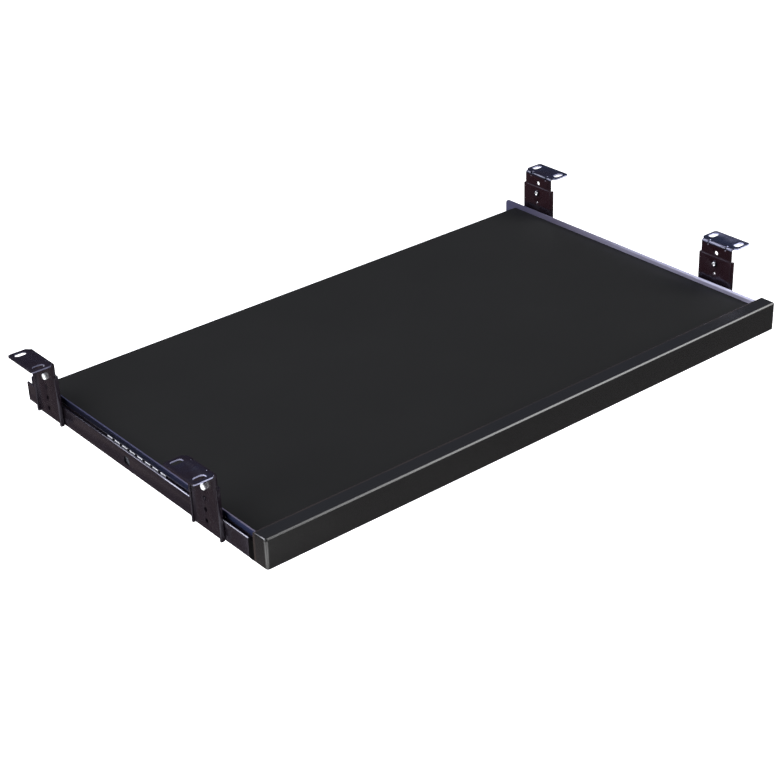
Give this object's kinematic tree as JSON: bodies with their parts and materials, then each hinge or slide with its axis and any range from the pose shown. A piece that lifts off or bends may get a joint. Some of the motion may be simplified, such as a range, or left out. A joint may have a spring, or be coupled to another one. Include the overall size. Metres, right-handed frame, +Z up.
{
  "type": "keyboard tray under desk",
  "caption": "Under-desk keyboard tray: flat deck with a raised front lip on ball-bearing side slides, hung from slotted height-adjustable brackets.",
  "frame": {"origin": "middle of the desk's underside between the four hangers, on the plane of their top plates", "axes": "+X to the user's right along the front lip, +Y from the lip to the back of the desk, +Z up"},
  "size_m": [0.651, 0.3705, 0.0655],
  "materials": {
    "deck_foil": "satin black laminate",
    "edge_band": "satin black edge band",
    "black_steel": "gloss black lacquer on sheet steel",
    "zinc": "bright zinc plating",
    "cage_zinc": "bright zinc plated strip",
    "ball_steel": "polished steel",
    "nylon": "moulded nylon",
    "beech": "raw beech dowel"
  },
  "bodies": {
    "slide_frame": {"left_fixed_rail": "black_steel", "right_fixed_rail": "black_steel", "left_buffer": "nylon", "right_buffer": "nylon", "left_end_plug": "nylon", "right_end_plug": "nylon", "front_left_channel": "black_steel", "front_right_channel": "black_steel", "rear_left_channel": "black_steel", "rear_right_channel": "black_steel", "front_left_hanger": "black_steel", "front_right_hanger": "black_steel", "rear_left_hanger": "black_steel", "rear_right_hanger": "black_steel", "rail_rivets": "black_steel", "height_screws": "zinc", "height_nuts": "black_steel"},
    "left_cage": {"left_ball_cage": "cage_zinc", "left_balls": "ball_steel"},
    "right_cage": {"right_ball_cage": "cage_zinc", "right_balls": "ball_steel"},
    "tray": {"front_lip": "deck_foil", "tray_board": "deck_foil", "rear_edge_band": "edge_band", "lip_dowels": "beech", "left_tray_angle": "black_steel", "right_tray_angle": "black_steel", "shelf_screws": "zinc", "left_tray_rail": "black_steel", "right_tray_rail": "black_steel", "side_screws": "zinc"}
  },
  "joints": [
    {"name": "tray_slide", "type": "slide", "parent": "slide_frame", "child": "tray", "axis": [0, -1, 0], "range_m": [0, 0.22]},
    {"name": "left_cage_slide", "type": "slide", "parent": "slide_frame", "child": "left_cage", "axis": [0, -1, 0], "range_m": [0, 0.11]},
    {"name": "right_cage_slide", "type": "slide", "parent": "slide_frame", "child": "right_cage", "axis": [0, -1, 0], "range_m": [0, 0.11]}
  ],
  "couplings": [
    {"joint": "left_cage_slide", "follows": "tray_slide", "ratio": 0.5},
    {"joint": "right_cage_slide", "follows": "tray_slide", "ratio": 0.5}
  ]
}
